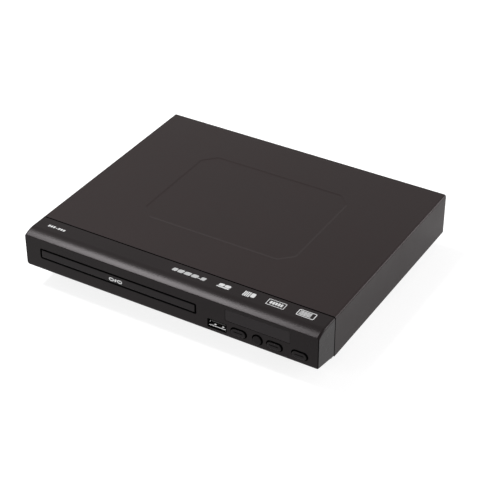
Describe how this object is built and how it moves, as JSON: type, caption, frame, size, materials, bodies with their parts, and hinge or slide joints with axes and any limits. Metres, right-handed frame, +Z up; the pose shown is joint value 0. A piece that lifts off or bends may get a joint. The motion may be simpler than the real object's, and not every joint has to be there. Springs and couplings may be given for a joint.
{
  "type": "dvd player",
  "caption": "Compact disc player: folded steel cover, rolled front moulding with a motor-driven disc tray, USB socket and push buttons, lifting optical drive inside.",
  "frame": {"origin": "middle of the player's bounding box in plan, on the surface its feet stand on", "axes": "+Z up, the front with the tray faces -Y, +X is the right side seen from the front"},
  "size_m": [0.223, 0.19, 0.042],
  "materials": {
    "cover_paint": "satin powder coat",
    "zinc_sheet": "galvanised sheet",
    "bezel_plastic": "satin moulded plastic",
    "smoked_acrylic": "polished smoked acrylic",
    "rubber": "matt rubber",
    "zinc_steel": "zinc plated",
    "black_plastic": "moulded plastic",
    "grey_plastic": "moulded plastic",
    "white_plastic": "acetal",
    "brass": "turned brass",
    "chrome_steel": "polished",
    "lens_plastic": "polished",
    "green_board": "solder mask",
    "brown_board": "phenolic board",
    "ivory_plastic": "moulded plastic",
    "dark_parts": "moulded epoxy"
  },
  "bodies": {
    "housing": {"top_cover": "cover_paint", "bottom_chassis": "zinc_sheet", "rear_panel": "zinc_sheet", "front_bezel": "bezel_plastic", "display_window": "smoked_acrylic", "rubber_feet": "rubber", "standoffs": "zinc_steel", "cover_screws": "zinc_steel", "loader_screws": "zinc_steel", "board_screws": "zinc_steel", "loader_frame": "black_plastic", "clamp_bridge": "zinc_sheet", "loading_motor": "zinc_steel", "drive_belt": "rubber", "front_board": "green_board", "display_module": "black_plastic", "ir_receiver": "black_plastic", "usb_socket": "chrome_steel", "usb_tongue": "white_plastic", "tact_switches": "grey_plastic", "main_board": "green_board", "board_components": "dark_parts", "rca_block": "black_plastic", "rca_shells": "brass", "hdmi_socket": "chrome_steel", "power_board": "brown_board", "power_components": "dark_parts", "mains_inlet": "black_plastic", "ribbon_cables": "ivory_plastic"},
    "tray_carrier": {"tray": "grey_plastic", "tray_door": "bezel_plastic"},
    "motor_shaft": {"motor_pulley": "brass"},
    "belt_wheel": {"pulley_gear": "white_plastic"},
    "tray_pinion": {"drive_gear": "white_plastic"},
    "slider": {"cam_slider": "white_plastic"},
    "traverse": {"lift_frame": "black_plastic", "traverse_plate": "zinc_sheet", "dampers": "rubber", "damper_screws": "zinc_steel", "spindle_motor": "zinc_steel", "guide_rods": "chrome_steel", "sled_motor": "zinc_steel"},
    "spindle": {"spindle_rotor": "chrome_steel", "turntable": "black_plastic", "turntable_ring": "rubber"},
    "pickup": {"pickup_body": "zinc_sheet"},
    "lens": {"lens_holder": "black_plastic", "objective_lens": "lens_plastic"},
    "sled_wheel": {"sled_gear": "white_plastic"},
    "sled_shaft": {"sled_pinion": "brass"},
    "clamp": {"clamp_puck": "white_plastic", "clamp_cap": "zinc_steel"},
    "eject_key": {"eject_button": "bezel_plastic", "eject_plunger": "ivory_plastic"},
    "round_key": {"round_button": "bezel_plastic", "round_plunger": "ivory_plastic"},
    "stop_key": {"stop_button": "bezel_plastic", "stop_plunger": "ivory_plastic"},
    "power_key": {"power_button": "bezel_plastic", "power_plunger": "ivory_plastic"}
  },
  "joints": [
    {"name": "tray_slide", "type": "slide", "parent": "housing", "child": "tray_carrier", "axis": [0, -1, 0], "range_m": [0, 0.131]},
    {"name": "tray_pinion_spin", "type": "hinge", "parent": "housing", "child": "tray_pinion", "pos_m": [-0.08865, -0.074, 0.02305], "axis": [0, 0, 1], "range_deg": [0, 1251.58]},
    {"name": "belt_wheel_spin", "type": "hinge", "parent": "housing", "child": "belt_wheel", "pos_m": [-0.07585, -0.074, 0.02305], "axis": [0, 0, 1], "range_deg": [-2753.48, 0]},
    {"name": "motor_shaft_spin", "type": "hinge", "parent": "housing", "child": "motor_shaft", "pos_m": [-0.0399, -0.0628, 0.02305], "axis": [0, 0, 1], "range_deg": [-10654.78, 0]},
    {"name": "traverse_lift", "type": "hinge", "parent": "housing", "child": "traverse", "pos_m": [-0.0379, 0.052, 0.0198], "axis": [-1, 0, 0], "range_deg": [0, 4.4]},
    {"name": "slider_shift", "type": "slide", "parent": "housing", "child": "slider", "axis": [1, 0, 0], "range_m": [0, 0.014]},
    {"name": "spindle_spin", "type": "hinge", "parent": "traverse", "child": "spindle", "pos_m": [-0.0379, -0.0253, 0.02338], "axis": [0, -0.0767, 0.9971], "continuous": true},
    {"name": "pickup_slide", "type": "slide", "parent": "traverse", "child": "pickup", "axis": [0, 0.9971, 0.0767], "range_m": [0, 0.035]},
    {"name": "sled_wheel_spin", "type": "hinge", "parent": "traverse", "child": "sled_wheel", "pos_m": [-0.0784, 0.00663, 0.01892], "axis": [0, -0.0767, 0.9971], "range_deg": [0, 417.99]},
    {"name": "sled_shaft_spin", "type": "hinge", "parent": "traverse", "child": "sled_shaft", "pos_m": [-0.08007, 0.01848, 0.01983], "axis": [0, -0.0767, 0.9971], "range_deg": [-835.98, 0]},
    {"name": "lens_focus", "type": "slide", "parent": "pickup", "child": "lens", "axis": [0, -0.0767, 0.9971], "range_m": [-0.0004, 0.0004], "stiffness_N_per_m": 60},
    {"name": "clamp_spin", "type": "hinge", "parent": "housing", "child": "clamp", "pos_m": [-0.0379, -0.0248, 0.0337], "axis": [0, 0, 1], "continuous": true},
    {"name": "eject_press", "type": "slide", "parent": "housing", "child": "eject_key", "axis": [0, 1, 0], "range_m": [0, 0.0005], "stiffness_N_per_m": 600},
    {"name": "round_press", "type": "slide", "parent": "housing", "child": "round_key", "axis": [0, 1, 0], "range_m": [0, 0.0005], "stiffness_N_per_m": 600},
    {"name": "stop_press", "type": "slide", "parent": "housing", "child": "stop_key", "axis": [0, 1, 0], "range_m": [0, 0.0005], "stiffness_N_per_m": 600},
    {"name": "power_press", "type": "slide", "parent": "housing", "child": "power_key", "axis": [0, 1, 0], "range_m": [0, 0.0005], "stiffness_N_per_m": 600}
  ],
  "couplings": [
    {"joint": "tray_pinion_spin", "follows": "tray_slide", "rad_per_m": 166.67},
    {"joint": "belt_wheel_spin", "follows": "tray_slide", "rad_per_m": -366.67},
    {"joint": "motor_shaft_spin", "follows": "tray_slide", "rad_per_m": -1418.8},
    {"joint": "slider_shift", "follows": "traverse_lift", "m_per_rad": 0.18229},
    {"joint": "sled_wheel_spin", "follows": "pickup_slide", "rad_per_m": 208.33},
    {"joint": "sled_shaft_spin", "follows": "pickup_slide", "rad_per_m": -416.67}
  ]
}
